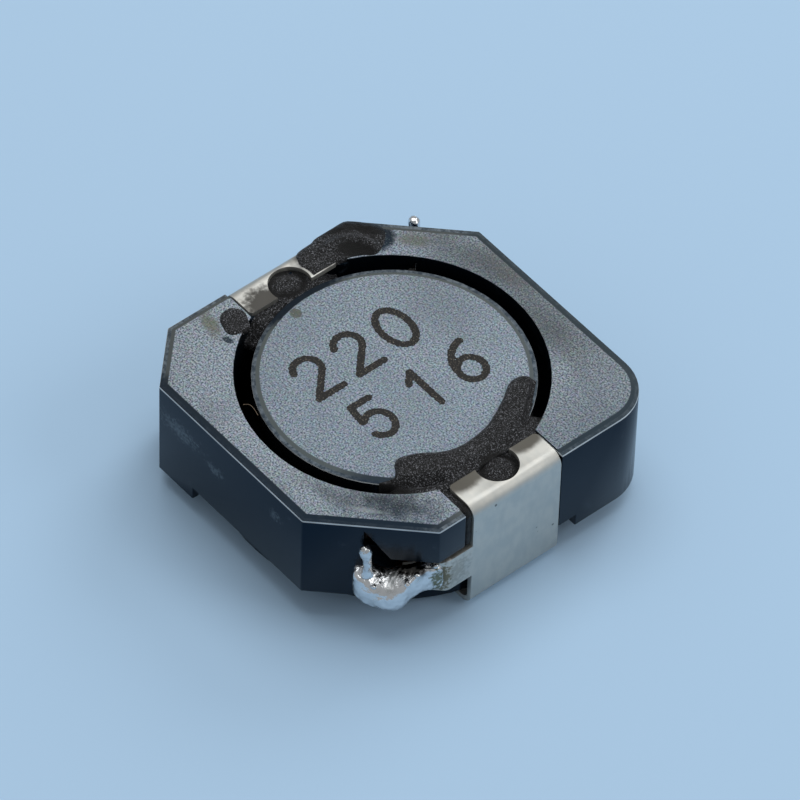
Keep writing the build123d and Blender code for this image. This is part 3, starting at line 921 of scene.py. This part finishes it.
# Solder joints: a skin over cross sections, in the joint's own directions: along the corner, out of it, and up
joint = {
    "corner": (3.83, -3.83),
    "back": -0.5,
    "heelRise": 0.15,
    "toeRise": 0.1,
    "backDrop": 0.12,
    "stubSides": 12,
    "leanFrom": (2.2, 3.1),  # levels between which the rear stub leans away
    "smoothing": 3,
    "ripple": 0.025,
    "rippleSize": 0.3,
    # along; then out of front, front rim, dish and rear rim; then levels of foot, front, front rim, dish and rear rim
    "sections": [
        (-0.52, 0.1, 0.04, -0.08, -0.3, 1.35, 1.6, 2.06, 2.14, 2.16),
        (-0.36, 0.28, 0.2, 0.02, -0.3, 1.14, 1.5, 2.02, 2.12, 2.24),
        (-0.05, 0.4, 0.33, 0.1, -0.28, 1.05, 1.42, 1.84, 1.98, 2.22),
        (0.3, 0.45, 0.38, 0.14, -0.28, 1.0, 1.34, 1.72, 1.8, 1.94),
        (0.6, 0.46, 0.37, 0.1, -0.32, 0.93, 1.3, 1.78, 1.86, 2.08),
        (0.86, 0.38, 0.27, 0.04, -0.36, 0.98, 1.38, 1.96, 1.94, 2.2),
        (1.1, 0.1, 0.03, -0.14, -0.42, 1.3, 1.6, 2.1, 2.08, 2.24),
        (1.35, -0.06, -0.11, -0.22, -0.44, 1.38, 1.66, 2.2, 2.2, 2.33),
        (1.6, -0.2, -0.23, -0.3, -0.42, 1.34, 1.62, 2.2, 2.22, 2.3),
        (1.84, -0.27, -0.28, -0.31, -0.37, 1.4, 1.66, 2.08, 2.12, 2.18),
    ],
    "beads": [  # small round drops: along, out, level, radius
        (0.93, 0.2, 2.02, 0.085),
        (1.17, -0.02, 2.16, 0.085),
        (1.62, -0.24, 2.34, 0.07),
        (0.08, 0.3, 1.95, 0.08),
    ],
    "rearStub": (0.12, 0.15, 0.62),  # how much further the rear stub leans along, out and up at its tip
    "stub": [  # along, out, level, radius
        (-0.12, -0.02, 2.0, 0.24),
        (-0.12, -0.04, 2.18, 0.165),
        (-0.12, -0.03, 2.36, 0.135),
        (-0.12, 0.02, 2.6, 0.13),
        (-0.15, 0.0, 2.78, 0.135),
        (-0.18, 0.0, 2.9, 0.175),
        (-0.19, 0.0, 3.04, 0.17),
        (-0.18, 0.0, 3.13, 0.1),
    ],
}


def jointPlace(along, out, level):
    x, y = joint["corner"]
    return Vector((x + (along + out) / math.sqrt(2), y + (along - out) / math.sqrt(2), level))


def loft(work, rows):
    # skin over rows of points, each row closed on itself, with both ends capped
    made = [[work.verts.new(place) for place in row] for row in rows]
    for first, last in zip(made, made[1:]):
        for i in range(len(first)):
            work.faces.new((first[i - 1], first[i], last[i], last[i - 1]))
    work.faces.new(made[0])
    work.faces.new(list(reversed(made[-1])))


def jointBody(name, side, seed):
    work = bmesh.new()
    back = joint["back"]
    rows = []
    for along, front, rim, dish, rear, foot, middle, rimLevel, dishLevel, rearLevel in joint["sections"]:
        profile = [(back, foot + joint["heelRise"]), (back / 2 + front / 4, foot),
                   (front * 0.9, foot + joint["toeRise"]), (front, middle), (rim, rimLevel), (dish, dishLevel),
                   (rear, rearLevel), (back, rearLevel - joint["backDrop"])]
        rows.append([jointPlace(along, out, level) for out, level in profile])
    loft(work, rows)
    turns = [math.radians(360 / joint["stubSides"] * i) for i in range(joint["stubSides"])]
    rows = []
    for along, out, level, radius in joint["stub"]:
        if side < 0:
            lean = ease(level, *joint["leanFrom"])
            along, out, level = (value + more * lean for value, more in zip((along, out, level), joint["rearStub"]))
        rows.append([jointPlace(along + radius * math.cos(turn), out - radius * math.sin(turn), level)
                     for turn in turns])
    loft(work, rows)
    for along, out, level, radius in joint["beads"]:
        place = Matrix.Translation(jointPlace(along, out, level))
        bmesh.ops.create_icosphere(work, subdivisions=2, radius=radius, matrix=place)
    bmesh.ops.recalc_face_normals(work, faces=work.faces)
    for face in work.faces:
        face.smooth = True
    body = newBody(name, work)
    rounding = body.modifiers.new("rounding", "SUBSURF")
    rounding.levels = rounding.render_levels = joint["smoothing"]
    return bakeSkin(body, unevenness(joint["rippleSize"], joint["ripple"], seed), side)


dress(jointBody("solderFront", 1, 21), brightSolder, "solder", "solder_front")
dress(jointBody("solderRear", -1, 33), brightSolder, "solder", "solder_rear")
print("solder made")

# Plain numbers in two rows, read along +Y
marking = {
    "strokeWidth": 0.2,
    "thickness": 0.008,
    "sunk": 0.002,
    "ragged": 0.03,
    "raggedSize": 0.07,
    "grid": 0.02,
    "rows": [  # text, x of the middle, y of each digit's middle, digit height, digit width
        ("220", -1.2, (-1.63, -0.27, 1.1), 1.36, 0.84),
        ("516", 0.88, (-1.33, 0.34, 1.74), 1.3, 0.8),
    ],
}


def arcPoints(across, up, wide, tall, start, end):
    count = 32
    turns = [math.radians(start + (end - start) * i / count) for i in range(count + 1)]
    return [(across + wide * math.cos(turn), up + tall * math.sin(turn)) for turn in turns]


# strokes of each digit in a box from -0.5 to 0.5 both ways
digitStrokes = {
    "0": [arcPoints(0, 0, 0.5, 0.5, 0, 360)],
    "1": [[(-0.3, 0.26), (0.06, 0.5), (0.06, -0.5)]],
    "2": [arcPoints(0, 0.22, 0.46, 0.28, 165, -32) + [(-0.48, -0.5), (0.5, -0.5)]],
    "5": [[(0.42, 0.5), (-0.34, 0.5), (-0.42, 0.06)] + arcPoints(0, -0.17, 0.48, 0.33, 135, -150)],
    "6": [arcPoints(0, -0.19, 0.46, 0.31, 0, 360), arcPoints(0.55, -0.15, 1.0, 0.68, 95, 175)],
}


def inkFaces(work, lines, level):
    # the inked area on a fine grid, with a slightly ragged edge
    step = marking["grid"]
    reach = marking["strokeWidth"]
    xs = [x for line in lines for x, y in line]
    ys = [y for line in lines for x, y in line]
    gridX = numpy.arange(min(xs) - reach, max(xs) + reach, step)
    gridY = numpy.arange(min(ys) - reach, max(ys) + reach, step)
    x, y = numpy.meshgrid(gridX, gridY, indexing="ij")
    field = numpy.minimum.reduce([lineDistance(x, y, line) for line in lines]) - marking["strokeWidth"] / 2
    for i, j in numpy.argwhere(numpy.abs(field) < 2 * marking["ragged"]):
        at = Vector((gridX[i], gridY[j], 0)) / marking["raggedSize"]
        field[i, j] += marking["ragged"] * noise.noise(at)
    return cellFaces(work, gridX, gridY, field, lambda x, y, depth: level)


work = bmesh.new()
drumTop = drumFerrite["topLevel"]
inked = []
for text, middleX, middles, tall, wide in marking["rows"]:
    for digit, middleY in zip(text, middles):
        lines = [[(middleX - up * tall, middleY + across * wide) for across, up in line]
                 for line in digitStrokes[digit]]
        inked += inkFaces(work, lines, drumTop + marking["thickness"])
lowered = bmesh.ops.extrude_face_region(work, geom=inked, use_keep_orig=True)["geom"]
for vertex in lowered:
    if isinstance(vertex, bmesh.types.BMVert):
        vertex.co.z = drumTop - marking["sunk"]
bmesh.ops.recalc_face_normals(work, faces=work.faces)
bmesh.ops.scale(work, vec=(mm, mm, mm), verts=work.verts)
ink = newBody("marking", work)
dress(ink, brownInk, "ferrite_drum")
print("marking made")

# Fine fibre caught across the open slot
fibre = {
    "line": [(-1.64, -3.67, 3.7), (-1.58, -3.55, 3.72), (-1.38, -3.52, 3.71), (-1.15, -3.57, 3.66)],
    "radius": 0.007,
    "colour": "#8d7a63",
    "shade": "#4f4237",
    "cloudSize": 0.2,
}
fibreMaterial, tree, shader, coords = startMaterial("fine textile fibre", Roughness=0.5, IOR=1.5)
cloud = addNode(tree, "ShaderNodeTexNoise", {"Vector": coords, "Scale": 1 / fibre["cloudSize"]})
connect(tree, shader, {"Base Color": layColours(tree, fibre["shade"], (cloud, fibre["colour"]))})
thread = bpy.data.curves.new("fibre", "CURVE")
thread.dimensions = "3D"
thread.bevel_depth = fibre["radius"] * mm
spline = thread.splines.new("NURBS")
spline.points.add(len(fibre["line"]) - 1)
for point, place in zip(spline.points, fibre["line"]):
    point.co = (*(v * mm for v in place), 1)
spline.order_u = 3
spline.use_endpoint_u = True
hair = bpy.data.objects.new("fibre", thread)
scene.collection.objects.link(hair)
dress(hair, fibreMaterial, "ferrite_drum")
print("fibre made")
